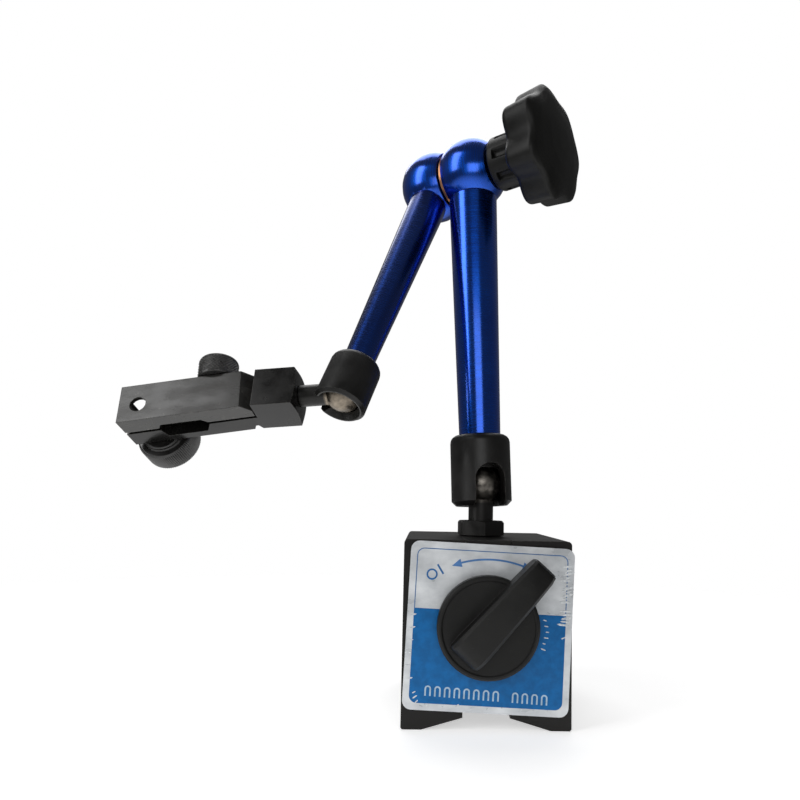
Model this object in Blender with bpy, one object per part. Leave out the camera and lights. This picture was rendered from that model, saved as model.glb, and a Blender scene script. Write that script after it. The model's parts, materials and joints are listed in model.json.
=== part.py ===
"""Central-locking magnetic stand for a dial indicator.

A switchable magnetic base carries two arms that meet at an elbow. Each arm ends in a ball joint. A star
knob at the elbow draws both hubs together and locks every joint at once. The last ball carries a clamp
head with a finely adjusted bar that takes the indicator.

Sizes below are in millimetres. Frames and finished meshes are in metres.
World axes: +X to the right of the label, +Y to the back, +Z up. The origin is the middle of the left foot.
"""

from math import acos, asin, atan2, cos, pi, radians, sin, sqrt

import bmesh
import bpy
from mathutils import Matrix, Vector

MM = 0.001
GAP = 0.3

# ---------------------------------------------------------------- driving sizes

BASE_WIDTH = 50.0
BASE_DEPTH = 60.0
BASE_HEIGHT = 55.0
FOOT_WIDTH = 6.0
FLANK_RISE = 3.5
SEPARATOR_WIDTH = 13.6
SLOT_HEIGHT = 8.0
SWITCH_HEIGHT = 30.0
ROTOR_BORE = 15.5

LOWER_BALL_HEIGHT = 72.2
ARM_YAW = radians(-36.0)
ARM_TILT = radians(3.5)
LOWER_LEAN = radians(-1.1)
UPPER_SWING = radians(31.6)
LOWER_LENGTH = 112.5
UPPER_LENGTH = 100.4
HUB_RADIUS = 12.6
HUB_SPACING = 16.0
LOWER_SLOT_TURN = radians(-38.0)

HEAD_AZIMUTH = radians(173.3)
HEAD_DIP = radians(4.2)
HEAD_ROLL = radians(25.4)
KNEE_AT = 27.9
KNEE_BEND = radians(4.3)
BAR_SQUARE = 12.8

ROUND = 26


class Arm:
    """Sizes of one arm, measured from its ball centre towards its hub."""

    def __init__(self, **sizes):
        self.__dict__.update(sizes)


LOWER = Arm(
    length=LOWER_LENGTH,
    ball=6.5,
    neck=4.2,
    sleeve=10.25,
    mouth=-7.1,
    mouth_flare=6.2,
    lip=5.6,
    chamfer=1.5,
    top=17.0,
    shoulder=2.6,
    slot_width=10.4,
    slot_top=6.8,
    seat_top=9.7,
    tube_end=7.1,
    tube_hub=8.5,
    bore=3.9,
    rod=3.0,
)
UPPER = Arm(
    length=UPPER_LENGTH,
    ball=5.8,
    neck=3.3,
    sleeve=8.0,
    mouth=-5.2,
    mouth_flare=6.7,
    lip=5.3,
    chamfer=0.9,
    top=11.8,
    shoulder=2.2,
    slot_width=7.4,
    slot_top=3.4,
    seat_top=7.2,
    tube_end=4.8,
    tube_hub=6.8,
    bore=2.7,
    rod=2.2,
)

SPIGOT_LENGTH = 3.5
BOLT_RADIUS = 3.5
GROOVE_RADIUS = 2.4
BOLT_BORE = BOLT_RADIUS + GAP
INNER_FLAT = 7.1
OUTER_FLAT = 9.6

# ---------------------------------------------------------------- frames


def move(x, y, z):
    """A shift given in millimetres."""
    return Matrix.Translation(Vector((x, y, z)) * MM)


def turn(angle, axis):
    """A rotation about one of the axes 'X', 'Y' or 'Z'."""
    return Matrix.Rotation(angle, 4, axis)


BASE = move((BASE_WIDTH - FOOT_WIDTH) / 2, 0, 0)
FRONT = BASE @ move(0, -BASE_DEPTH / 2, SWITCH_HEIGHT) @ turn(pi / 2, "X")
STUD = BASE @ move(0, 0, LOWER_BALL_HEIGHT)
SWING = STUD @ turn(ARM_YAW, "Z")
LOWER_ARM = SWING @ turn(-ARM_TILT, "Y") @ turn(LOWER_LEAN, "X")
LOWER_HUB = LOWER_ARM @ move(0, 0, LOWER_LENGTH)
ELBOW = LOWER_HUB @ turn(-LOWER_LEAN, "X")
UPPER_HUB = ELBOW @ move(-HUB_SPACING, 0, 0) @ turn(-UPPER_SWING, "X")
UPPER_ARM = UPPER_HUB @ move(0, 0, -UPPER_LENGTH)
HEAD = (
    Matrix.Translation(UPPER_ARM.translation)
    @ turn(HEAD_AZIMUTH, "Z")
    @ turn(HEAD_DIP, "Y")
    @ turn(HEAD_ROLL, "X")
)
BARS = HEAD @ move(KNEE_AT, 0, 0) @ turn(KNEE_BEND, "Y")
ALONG_X = turn(pi / 2, "Y")
ALONG_Y = turn(-pi / 2, "X")

# ---------------------------------------------------------------- mesh helpers


def clear_scene():
    for thing in list(bpy.data.objects):
        bpy.data.objects.remove(thing, do_unlink=True)


def material(name, colour, roughness, metallic):
    made = bpy.data.materials.new(name)
    made.use_nodes = True
    shader = made.node_tree.nodes["Principled BSDF"]
    shader.inputs["Base Color"].default_value = (*colour, 1.0)
    shader.inputs["Roughness"].default_value = roughness
    shader.inputs["Metallic"].default_value = metallic
    return made


def mark_sharp(mesh, limit=radians(32.0)):
    """Shade smooth everywhere but across edges that turn more than the limit."""
    work = bmesh.new()
    work.from_mesh(mesh)
    for face in work.faces:
        face.smooth = True
    for edge in work.edges:
        edge.smooth = edge.calc_face_angle(pi) < limit
    work.to_mesh(mesh)
    work.free()


def add_object(name, points, faces, paint, frame, home=None):
    """Draw points (mm) in a frame; the object's own origin sits at the home frame."""
    home = home or frame
    to_home = home.inverted() @ frame
    mesh = bpy.data.meshes.new(name)
    mesh.from_pydata([to_home @ (Vector(p) * MM) for p in points], [], faces)
    work = bmesh.new()
    work.from_mesh(mesh)
    bmesh.ops.recalc_face_normals(work, faces=work.faces)
    work.to_mesh(mesh)
    work.free()
    made = bpy.data.objects.new(name, mesh)
    made.matrix_world = home
    bpy.context.collection.objects.link(made)
    if paint:
        mesh.materials.append(paint)
    mark_sharp(mesh)
    bpy.context.view_layer.update()
    return made


def arc(centre, radius, start, end, steps):
    """Points of an arc in a plane, both ends included."""
    out = []
    for i in range(steps + 1):
        angle = start + (end - start) * i / steps
        out.append((centre[0] + radius * cos(angle), centre[1] + radius * sin(angle)))
    return out


def turned(name, profile, paint, frame, home=None, sides=ROUND):
    """Turn a closed (radius, height) outline about the frame's Z axis."""
    points = []
    rows = []
    for radius, height in profile:
        if radius < 1e-6:
            rows.append([len(points)] * sides)
            points.append((0.0, 0.0, height))
            continue
        rows.append([len(points) + k for k in range(sides)])
        for k in range(sides):
            angle = 2 * pi * k / sides
            points.append((radius * cos(angle), radius * sin(angle), height))
    faces = []
    for here, there in zip(rows, rows[1:] + rows[:1]):
        for k in range(sides):
            after = (k + 1) % sides
            corners = [here[k], here[after], there[after], there[k]]
            loop = list(dict.fromkeys(corners))
            if len(loop) > 2:
                faces.append(loop)
    return add_object(name, points, faces, paint, frame, home)


def prism(name, outline, low, high, paint, frame, home=None):
    """Push a closed (x, y) outline along the frame's Z axis."""
    count = len(outline)
    points = [(x, y, low) for x, y in outline] + [(x, y, high) for x, y in outline]
    faces = [list(range(count))[::-1], list(range(count, 2 * count))]
    for k in range(count):
        after = (k + 1) % count
        faces.append([k, after, count + after, count + k])
    return add_object(name, points, faces, paint, frame, home)


def box(name, x, y, z, paint, frame, home=None):
    """A box from three (low, high) spans."""
    outline = [(x[0], y[0]), (x[1], y[0]), (x[1], y[1]), (x[0], y[1])]
    return prism(name, outline, z[0], z[1], paint, frame, home)


def loft(name, rings, paint, frame, home=None):
    """Join rings of equal count; a ring of one point closes that end."""
    points = []
    rows = []
    sides = max(len(ring) for ring in rings)
    for ring in rings:
        if len(ring) == 1:
            rows.append([len(points)] * sides)
        else:
            rows.append([len(points) + k for k in range(sides)])
        points.extend(ring)
    faces = []
    for here, there in zip(rows, rows[1:]):
        for k in range(sides):
            after = (k + 1) % sides
            loop = list(dict.fromkeys([here[k], here[after], there[after], there[k]]))
            if len(loop) > 2:
                faces.append(loop)
    for row in (rows[0], rows[-1]):
        if row[0] != row[-1]:
            faces.append(row)
    return add_object(name, points, faces, paint, frame, home)


def combine(target, tool, operation):
    """Apply one exact Boolean and drop the tool."""
    step = target.modifiers.new("shape", "BOOLEAN")
    step.operation = operation
    step.solver = "EXACT"
    step.object = tool
    bpy.context.view_layer.update()
    graph = bpy.context.evaluated_depsgraph_get()
    mesh = bpy.data.meshes.new_from_object(target.evaluated_get(graph))
    target.modifiers.clear()
    target.data = mesh
    mesh.name = target.name
    bpy.data.objects.remove(tool, do_unlink=True)
    mark_sharp(mesh)


def cut(target, tool):
    combine(target, tool, "DIFFERENCE")


def bore(target, radius, low, high, frame):
    """Drill a plain round hole along a frame's Z axis."""
    profile = [(0, low), (radius, low), (radius, high), (0, high)]
    cut(target, turned("drill", profile, None, frame, sides=ROUND // 2))


# ---------------------------------------------------------------- magnetic base


def pole_outline():
    """The right pole half seen from the front, its foot at the bottom."""
    half = BASE_WIDTH / 2
    inner = SEPARATOR_WIDTH / 2 + GAP / 2
    corner = 1.2
    reach = sqrt(ROTOR_BORE**2 - inner**2)
    swing = acos(inner / ROTOR_BORE)
    outline = [(half - 0.5, 0), (half, 0.5)]
    outline += arc((half - corner, BASE_HEIGHT - corner), corner, 0, pi / 2, 4)
    outline += [(inner, BASE_HEIGHT), (inner, SWITCH_HEIGHT + reach)]
    outline += arc((0, SWITCH_HEIGHT), ROTOR_BORE, swing, -swing, 16)[1:]
    outline += [(inner, FLANK_RISE), (half - FOOT_WIDTH, 0)]
    return outline


def separator_outline(side):
    """The non-magnetic strip above (side 1) or below (side -1) the rotor bore."""
    half = SEPARATOR_WIDTH / 2
    swing = asin(half / ROTOR_BORE)
    far = BASE_HEIGHT if side > 0 else SLOT_HEIGHT
    middle = side * pi / 2
    return [(-half, far), (half, far)] + arc(
        (0, SWITCH_HEIGHT), ROTOR_BORE, middle - side * swing, middle + side * swing, 10
    )


def upright():
    """The frame in which an outline drawn as (across, up) is pushed along the base's depth."""
    return BASE @ turn(pi / 2, "X")


def build_base(paint):
    deep = BASE_DEPTH / 2
    right = pole_outline()
    left = [(-x, z) for x, z in right]
    prism("pole_right", right, -deep, deep, paint["black_paint"], upright())
    prism("pole_left", left, -deep, deep, paint["black_paint"], upright())
    prism("separator_lower", separator_outline(-1), -deep, deep, paint["dark_alloy"], upright())
    upper = prism("separator_upper", separator_outline(1), -deep, deep, paint["dark_alloy"], upright())
    bore(upper, 4.3, BASE_HEIGHT - 7.5, BASE_HEIGHT + 1, BASE)
    plug = ROTOR_BORE - GAP
    turned("front_bush", [(4.3, -3.5), (plug, -3.5), (plug, -GAP), (4.3, -GAP)], paint["brass"], FRONT)
    back = -BASE_DEPTH
    turned(
        "rear_cover",
        [(0, back + GAP), (plug, back + GAP), (plug, back + 4.7), (0, back + 4.7)],
        paint["dark_alloy"],
        FRONT,
    )


def label_outline():
    half_x, half_z, corner = 24.3, 24.4, 2.6
    outline = []
    for quarter in range(4):
        sx = (1, -1, -1, 1)[quarter]
        sz = (1, 1, -1, -1)[quarter]
        centre = (sx * (half_x - corner), sz * (half_z - corner))
        outline += arc(centre, corner, quarter * pi / 2, (quarter + 1) * pi / 2, 5)
    return outline


def build_label(paint):
    frame = FRONT @ move(0.5, -0.6, 0) @ turn(radians(-2.3), "Z")
    plate = prism("label_plate", label_outline(), GAP, GAP + 0.5, paint["label_silver"], frame, FRONT)
    bore(plate, 4.8, -1, 2, FRONT)


# ---------------------------------------------------------------- switch

ROTOR_FRONT = -6.8
ROTOR_BACK = -BASE_DEPTH + 5.0
MAGNET_HALF = 6.0


def rotor_segment(side):
    """One steel pole shoe of the rotor, seen along the rotor axis."""
    radius = ROTOR_BORE - GAP
    flat = MAGNET_HALF + GAP
    swing = acos(flat / radius)
    return [(side * x, z) for x, z in arc((0, 0), radius, -swing, swing, 14)]


def magnet_outline():
    radius = ROTOR_BORE - GAP
    swing = asin(MAGNET_HALF / radius)
    top = arc((0, 0), radius, pi / 2 - swing, pi / 2 + swing, 6)
    return top + [(-x, -z) for x, z in top]


def build_rotor(paint):
    span = (ROTOR_BACK, ROTOR_FRONT)
    prism("rotor_magnet", magnet_outline(), *span, paint["ferrite"], FRONT)
    prism("rotor_shoe_right", rotor_segment(1), *span, paint["steel"], FRONT)
    prism("rotor_shoe_left", rotor_segment(-1), *span, paint["steel"], FRONT)
    flange = 13.5
    turned(
        "switch_spindle",
        [(0, -6.5), (flange, -6.5), (flange, -3.8), (4.0, -3.8), (4.0, 4.0), (0, 4.0)],
        paint["steel"],
        FRONT,
    )


KNOB_BACK = 1.1
KNOB_FACE = 5.0
LEVER_ANGLE = radians(48.0)


def lever_ring(along, half_low, half_high, low, high):
    """One cross-section of the lever, wider at its root than at its crest."""
    return [
        (along, -half_low, low),
        (along, half_low, low),
        (along, half_low, high - 1.0),
        (along, half_high, high),
        (along, -half_high, high),
        (along, -half_low, high - 1.0),
    ]


def build_switch_knob(paint):
    radius = 15.0
    edge = 0.7
    face = [(0, 4.3), (4.3, 4.3), (4.3, KNOB_BACK), (radius, KNOB_BACK), (radius, KNOB_FACE - edge)]
    face += [(radius - edge, KNOB_FACE), (radius - 1.3, KNOB_FACE), (radius - 1.6, KNOB_FACE - 0.3)]
    knob = turned("switch_knob", face + [(0, KNOB_FACE - 0.3)], paint["black_plastic"], FRONT, sides=48)
    root = KNOB_BACK + 1.6
    crest = KNOB_FACE + 6.0
    rings = [
        lever_ring(-11.8, 4.4, 3.6, KNOB_FACE - 0.9, KNOB_FACE + 0.6),
        lever_ring(-10.6, 5.0, 4.1, KNOB_FACE - 0.9, KNOB_FACE + 3.8),
        lever_ring(-8.6, 5.0, 4.0, KNOB_FACE - 0.9, crest - 0.6),
        lever_ring(-6.0, 5.0, 4.0, KNOB_FACE - 0.9, crest),
        lever_ring(13.0, 4.4, 3.6, KNOB_FACE - 0.9, crest),
        lever_ring(13.2, 4.4, 3.6, root, crest),
        lever_ring(21.6, 4.0, 3.2, root, crest - 0.3),
        lever_ring(23.4, 3.8, 2.9, root + 0.4, crest - 1.2),
        lever_ring(24.0, 3.3, 2.5, root + 1.2, crest - 2.4),
    ]
    lever = loft("lever", rings, paint["black_plastic"], FRONT @ turn(LEVER_ANGLE, "Z"))
    combine(knob, lever, "UNION")


# ---------------------------------------------------------------- ball stud on the base


def build_lower_stud(paint):
    """Threaded end, hexagon collar, neck and ball in one turned piece."""
    top = -LOWER_BALL_HEIGHT + BASE_HEIGHT
    neck = LOWER.neck
    ball = LOWER.ball
    start = -asin(neck / ball)
    profile = [(0, top - 7.0), (3.4, top - 7.0), (4.0, top - 6.4), (4.0, top + 2.0), (neck, top + 2.0)]
    profile += [(neck, -sqrt(ball**2 - neck**2) - 0.01)]
    profile += [(ball * sin(-a), -ball * cos(a)) for a, _ in arc_angles(start, -pi, 12)]
    stud = turned("ball_stud_lower", profile, paint["dark_steel"], STUD)
    across = 14.4
    corner = across / 2 / cos(pi / 6)
    hexagon = [(corner * cos(k * pi / 3), corner * sin(k * pi / 3)) for k in range(6)]
    low, high = top + GAP, top + 5.2
    collar = prism("hexagon", hexagon, low, high, paint["dark_steel"], STUD @ turn(radians(36.0), "Z"))
    dome = [(0, low - 1), (corner, low - 1), (corner, high - 0.7), (across / 2, high), (0, high)]
    combine(collar, turned("dome", dome, None, STUD), "INTERSECT")
    combine(stud, collar, "UNION")


def arc_angles(start, end, steps):
    """Evenly spaced angles, the first left out."""
    return [(start + (end - start) * (i + 1) / steps, i) for i in range(steps)]


# ---------------------------------------------------------------- arms


def slot_cutter(arm, frame, direction):
    """A U-shaped slot from the mouth of the sleeve up to its rounded end, on one side."""
    half = arm.slot_width / 2
    outline = [(-half, arm.mouth - 1), (half, arm.mouth - 1)]
    outline += arc((0, arm.slot_top - half), half, 0, pi, 12)
    outward = frame @ turn(direction + pi / 2, "Z") @ turn(pi / 2, "X")
    return prism("slot", outline, 0.5, arm.sleeve + 1, None, outward)


def build_sleeve(prefix, arm, frame, home, direction, paint):
    socket = arm.ball + GAP
    step = max(arm.seat_top, arm.slot_top) + GAP
    grip = arm.tube_end + GAP
    shoulder = arm.shoulder
    drop = -acos(arm.lip / socket)
    profile = [(arm.mouth_flare, arm.mouth), (arm.sleeve - arm.chamfer, arm.mouth)]
    profile += [(arm.sleeve, arm.mouth + arm.chamfer)]
    profile += arc((arm.sleeve - shoulder, arm.top - shoulder), shoulder, 0, pi / 2, 4)
    profile += [(grip, arm.top), (grip, step), (socket, step)]
    profile += arc((0, 0), socket, 0, drop, 4)
    sleeve = turned(prefix + "_sleeve", profile, paint["black_oxide"], frame, home, sides=36)
    cut(sleeve, slot_cutter(arm, frame, direction))


def build_seat(prefix, arm, frame, home, paint):
    """The cup that the push rod presses onto the ball."""
    hollow = arm.ball + GAP
    rim = arm.ball * 0.6
    start = acos(rim / hollow)
    profile = arc((0, 0), hollow, pi / 2, start, 5)
    profile += [(arm.ball, hollow * sin(start)), (arm.ball, arm.seat_top), (0, arm.seat_top)]
    turned(prefix + "_ball_seat", profile, paint["steel"], frame, home)


def hub_seat(arm):
    """How far below the hub centre the tube meets the hub."""
    return sqrt(HUB_RADIUS**2 - arm.tube_hub**2) + 0.1


def build_tube(prefix, arm, frame, home, paint):
    start = max(arm.seat_top, arm.slot_top) + 2 * GAP
    end = arm.length - hub_seat(arm) - GAP
    spigot = arm.tube_hub - 2.5
    profile = [(arm.bore, start), (arm.tube_end, start), (arm.tube_end, arm.top), (arm.tube_hub, end)]
    profile += [(spigot, end), (spigot, end + SPIGOT_LENGTH), (arm.bore, end + SPIGOT_LENGTH)]
    turned(prefix + "_tube", profile, paint["blue_anodised"], frame, home, sides=36)


def build_rod(prefix, arm, frame, home, paint):
    tip = arm.length - GROOVE_RADIUS - GAP
    slope = (arm.rod - 1.0) * 0.95
    start = arm.seat_top + GAP
    profile = [(0, start), (arm.rod, start), (arm.rod, tip - slope), (1.0, tip), (0, tip)]
    turned(prefix + "_push_rod", profile, paint["steel"], frame, home, sides=24)


def open_hub(hub, arm, frame):
    """Cut the tube's seat, its spigot socket and the rod's way in to the bolt."""
    seat = -hub_seat(arm)
    socket = arm.tube_hub - 2.5 + GAP
    profile = [(0, -HUB_RADIUS - 2), (HUB_RADIUS + 2, -HUB_RADIUS - 2), (HUB_RADIUS + 2, seat)]
    profile += [(socket, seat), (socket, seat + SPIGOT_LENGTH + GAP)]
    profile += [(arm.rod + GAP, seat + SPIGOT_LENGTH + GAP), (arm.rod + GAP, 0), (0, 0)]
    cut(hub, turned("opening", profile, None, frame))


def build_lower_hub(paint):
    low = asin(-INNER_FLAT / HUB_RADIUS)
    high = asin(OUTER_FLAT / HUB_RADIUS)
    profile = [(BOLT_BORE, -INNER_FLAT)] + arc((0, 0), HUB_RADIUS, low, high, 10)
    profile += [(BOLT_BORE, OUTER_FLAT)]
    frame = LOWER_HUB @ ALONG_X
    hub = turned("lower_hub", profile, paint["blue_anodised"], frame, LOWER_ARM, sides=36)
    open_hub(hub, LOWER, LOWER_HUB)


def build_upper_hub(paint):
    high = asin(INNER_FLAT / HUB_RADIUS)
    profile = arc((0, 0), HUB_RADIUS, -pi / 2, high, 12)
    profile[0] = (0, -HUB_RADIUS)
    profile += [(BOLT_BORE, INNER_FLAT), (BOLT_BORE, -6.6), (0, -6.6)]
    hub = turned("upper_hub", profile, paint["blue_anodised"], UPPER_HUB @ ALONG_X, UPPER_HUB, sides=36)
    open_hub(hub, UPPER, UPPER_HUB)


def build_arm(prefix, arm, frame, home, direction, paint):
    build_sleeve(prefix, arm, frame, home, direction, paint)
    build_seat(prefix, arm, frame, home, paint)
    build_tube(prefix, arm, frame, home, paint)
    build_rod(prefix, arm, frame, home, paint)


# ---------------------------------------------------------------- elbow

KNOB_START = 11.0
KNOB_STAR = 21.9
KNOB_RADIUS = 20.3
KNOB_BORE = 26.6
LOBES = 7
FLUTE_DEPTH = 0.19
COLLAR_RADIUS = 9.2
RIB_DEPTH = 0.2


def build_draw_bolt(paint):
    """The bolt through both hubs, waisted where the two push rods bear on it."""
    flat, flank = 1.0, 3.0
    profile = [(0, -HUB_SPACING - 6.2), (BOLT_RADIUS, -HUB_SPACING - 6.2)]
    for centre in (-HUB_SPACING, 0):
        profile += [(BOLT_RADIUS, centre - flank), (GROOVE_RADIUS, centre - flat)]
        profile += [(GROOVE_RADIUS, centre + flat), (BOLT_RADIUS, centre + flank)]
    profile += [(BOLT_RADIUS, KNOB_BORE - 1.6), (BOLT_RADIUS - 0.8, KNOB_BORE - 0.8), (0, KNOB_BORE - 0.8)]
    turned("draw_bolt", profile, paint["steel"], ELBOW @ ALONG_X, sides=20)


def ring(name, inner, outer, low, high, finish):
    edge = 0.2
    profile = [(inner, low), (outer - edge, low), (outer, low + edge)]
    profile += [(outer, high - edge), (outer - edge, high), (inner, high)]
    turned(name, profile, finish, ELBOW @ ALONG_X)


def star_ring(height, size, roundness=0.0):
    """One level of the seven-lobed knob; roundness 1 is a plain circle."""
    out = []
    steps = LOBES * 8
    for k in range(steps):
        angle = 2 * pi * k / steps
        wave = cos(LOBES * angle)
        depth = FLUTE_DEPTH / 2 * (1 - wave)
        radius = KNOB_RADIUS * size * (1 - depth * (1 - roundness))
        out.append((radius * cos(angle), radius * sin(angle), height))
    return out


def circle_ring(height, radius):
    return star_ring(height, radius / KNOB_RADIUS, 1.0)


def ribbed_ring(height):
    """One level of the collar behind the star: a rib under each lobe and a recess under each flute."""
    return [(x * (1 - RIB_DEPTH * (3 <= k % 8 <= 5)), y * (1 - RIB_DEPTH * (3 <= k % 8 <= 5)), z)
            for k, (x, y, z) in enumerate(circle_ring(height, COLLAR_RADIUS))]


def build_star_knob(paint):
    bore_radius = 6.3
    rings = [
        [(0, 0, KNOB_BORE)],
        circle_ring(KNOB_BORE, bore_radius),
        circle_ring(KNOB_START, bore_radius),
        circle_ring(KNOB_START, COLLAR_RADIUS - 0.6),
        circle_ring(KNOB_START + 0.6, COLLAR_RADIUS),
        circle_ring(KNOB_START + 2.4, COLLAR_RADIUS),
        ribbed_ring(KNOB_START + 2.8),
        ribbed_ring(KNOB_STAR),
        star_ring(KNOB_STAR + 0.2, 0.86),
        star_ring(KNOB_STAR + 1.2, 0.95),
        star_ring(KNOB_STAR + 10.4, 0.99, 0.4),
        star_ring(KNOB_STAR + 11.0, 0.968, 0.42),
        star_ring(KNOB_STAR + 11.7, 0.90, 0.5),
        star_ring(KNOB_STAR + 12.9, 0.72, 0.7),
        star_ring(KNOB_STAR + 13.9, 0.45, 0.9),
        star_ring(KNOB_STAR + 14.4, 0.2, 1.0),
        [(0, 0, KNOB_STAR + 14.5)],
    ]
    frame = ELBOW @ ALONG_X
    loft("star_knob", rings, paint["black_plastic"], frame @ turn(radians(-8.6), "Z"), frame)


def build_elbow(paint):
    build_draw_bolt(paint)
    middle = -HUB_SPACING / 2
    ring("friction_washer", BOLT_BORE, 9.6, middle - 0.6, middle + 0.6, paint["copper"])
    ring("thrust_washer", BOLT_BORE, 6.8, OUTER_FLAT + GAP, KNOB_START - GAP, paint["black_oxide"])
    build_star_knob(paint)
    ring("knob_insert", BOLT_BORE, 6.0, KNOB_START + GAP, KNOB_BORE - GAP, paint["brass"])


# ---------------------------------------------------------------- clamp head

BLOCK_START = 13.5
BLOCK_END = KNEE_AT - 1.6
BAR_START = -0.7
BAR_END = 39.3
HALF = BAR_SQUARE / 2
WEB = 4.7
SLIT = 0.5
SCREW_AT = 31.4
SCREW_DROP = -2.5
STEM_HOLE_AT = 33.4
STEM_HOLE_RADIUS = 2.5
STEM_HOLE_DROP = -0.7
PIVOT_AT = 11.0
SPRING_AT = 4.6
PIVOT_OUT = 2.4
HEEL = 2.4


def relief(depth):
    """The trapezoid cut out of a bar's inner face, from its free end towards the block."""
    edge = SLIT if depth > 0 else -SLIT
    return [(28.7, edge), (27.7, depth), (15.4, depth), (13.6, edge)]


def across(along, up):
    """A frame whose Z axis runs through the two bars, out of the front face."""
    return BARS @ move(along, 0, up) @ ALONG_Y


def lug_recess():
    """The pocket, open at the top and the end, that takes the lug of an indicator."""
    return box("recess", (30.3, BAR_END + 1), (-HALF - 1, HALF - 1.3), (0.6, HALF + 1), None, BARS)


def build_upper_stud(paint):
    neck, ball = UPPER.neck, UPPER.ball
    start = acos(neck / ball)
    profile = arc((0, 0), ball, -pi / 2, start, 12)
    profile[0] = (0, -ball)
    profile += [(neck, BLOCK_START - GAP), (2.6, BLOCK_START - GAP), (2.6, 19.0), (0, 19.0)]
    turned("ball_stud_upper", profile, paint["bright_steel"], HEAD @ ALONG_X, HEAD)


def build_swivel_block(paint):
    """The square block on the stud, and the rear bar that leaves it at the notched knee."""
    outline = [(BLOCK_START, -HALF), (BLOCK_END, -HALF), (BLOCK_END + 1.0, -WEB), (KNEE_AT, -WEB)]
    outline += [(KNEE_AT, -SLIT), (BLOCK_END, -SLIT), (BLOCK_END, HALF), (BLOCK_START, HALF)]
    block = prism("swivel_block", outline, -HALF, HALF, paint["black_oxide"], HEAD)
    taper = [(0, BLOCK_START - 1), (HALF, BLOCK_START - 1), (HALF, BLOCK_START), (9.4, BLOCK_START + 0.8)]
    taper += [(9.4, BAR_END), (0, BAR_END)]
    combine(block, turned("taper", taper, None, HEAD @ ALONG_X), "INTERSECT")
    outline = [(BAR_START, -WEB), (-BAR_START, -WEB), (1.5, -HALF), (BAR_END, -HALF), (BAR_END, -SLIT)]
    outline += relief(-3.9) + [(BAR_START, -SLIT)]
    combine(block, prism("rear_bar", outline, -HALF, HALF, None, BARS), "UNION")
    combine(block, box("heel", (8.4, 13.5), (-1.2, 4.4), (-HEEL, HEEL), None, BARS), "UNION")
    bore(block, 2.6 + GAP, BLOCK_START - 2, 19.6, HEAD @ ALONG_X)
    bore(block, 2.5 + GAP, -HALF - 1, 0, across(SCREW_AT, SCREW_DROP))
    bore(block, 2.0 + GAP, -HEEL - 1, HEEL + 1, BARS @ move(PIVOT_AT, PIVOT_OUT, 0))
    bore(block, 1.8, -3.9, 0, across(SPRING_AT, 0))
    cut(block, lug_recess())


def build_clamp_bar(paint):
    outline = [(BAR_START, SLIT), (BAR_START, 3.2), (2.2, HALF), (BAR_END, HALF), (BAR_END, SLIT)]
    outline += relief(2.2)
    home = BARS @ move(PIVOT_AT, PIVOT_OUT, 0)
    bar = prism("clamp_bar", outline, -HALF, HALF, paint["black_oxide"], BARS, home)
    cut(bar, lug_recess())
    bore(bar, STEM_HOLE_RADIUS, 1.6, HALF + 1, across(STEM_HOLE_AT, STEM_HOLE_DROP))
    cut(bar, box("pocket", (7.6, 14.5), (0, 4.9), (-HEEL - GAP, HEEL + GAP), None, BARS))
    bore(bar, 2.0 + GAP, -HALF + 1.6, HALF + 1, home)
    bore(bar, 1.8, 0, 3.9, across(SPRING_AT, 0))


def knurled(count, depth, radius, height):
    """One level of a straight-knurled rim."""
    out = []
    for k in range(2 * count):
        angle = pi * k / count
        r = radius - depth * (k % 2)
        out.append((r * cos(angle), r * sin(angle), height))
    return out


def plain(count, radius, height):
    return knurled(count, 0.0, radius, height)


def build_pivot_screw(paint):
    """The screw that holds the bar to the block's heel; the bar swings about it."""
    low = HALF + GAP
    profile = [(0, -HALF + 2.0), (1.6, -HALF + 2.0), (2.0, -HALF + 2.4), (2.0, low), (5.5, low)]
    profile += [(6.1, low + 0.6), (6.1, low + 6.2), (5.4, low + 6.8), (0, low + 6.8)]
    turned("pivot_screw", profile, paint["black_oxide"], BARS @ move(PIVOT_AT, PIVOT_OUT, 0), sides=40)


def build_return_spring(paint):
    """A small coil spring between the bars; it keeps the front bar on the thumbscrew's tip."""
    turns, steps, coil, wire = 4, 10, 1.2, 0.22
    half = 3.9 - wire - 2 * GAP
    rings = []
    for k in range(turns * steps + 1):
        angle = 2 * pi * k / steps
        height = -half + 2 * half * k / (turns * steps)
        loop = []
        for j in range(5):
            spoke = 2 * pi * j / 5
            radius = coil + wire * cos(spoke)
            loop.append((radius * cos(angle), radius * sin(angle), height + wire * sin(spoke)))
        rings.append(loop)
    loft("return_spring", rings, paint["bright_steel"], across(SPRING_AT, 0), BARS)


def build_thumbscrew(paint):
    teeth = 44
    back = HALF + GAP
    rings = [
        [(0, 0, 0)],
        plain(teeth, 2.1, 0),
        plain(teeth, 2.5, 0.4),
        plain(teeth, 2.5, back),
        plain(teeth, 6.2, back),
        plain(teeth, 6.2, back + 1.4),
        plain(teeth, 8.3, back + 1.4),
        knurled(teeth, 0.3, 8.9, back + 2.0),
        knurled(teeth, 0.3, 8.9, back + 8.2),
        plain(teeth, 8.3, back + 8.8),
        [(0, 0, back + 8.8)],
    ]
    frame = BARS @ move(SCREW_AT, 0, SCREW_DROP) @ turn(pi / 2, "X")
    loft("thumbscrew", rings, paint["black_oxide"], frame)


# ---------------------------------------------------------------- whole stand


def build_head(paint):
    build_upper_stud(paint)
    build_swivel_block(paint)
    build_clamp_bar(paint)
    build_pivot_screw(paint)
    build_return_spring(paint)
    build_thumbscrew(paint)


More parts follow.
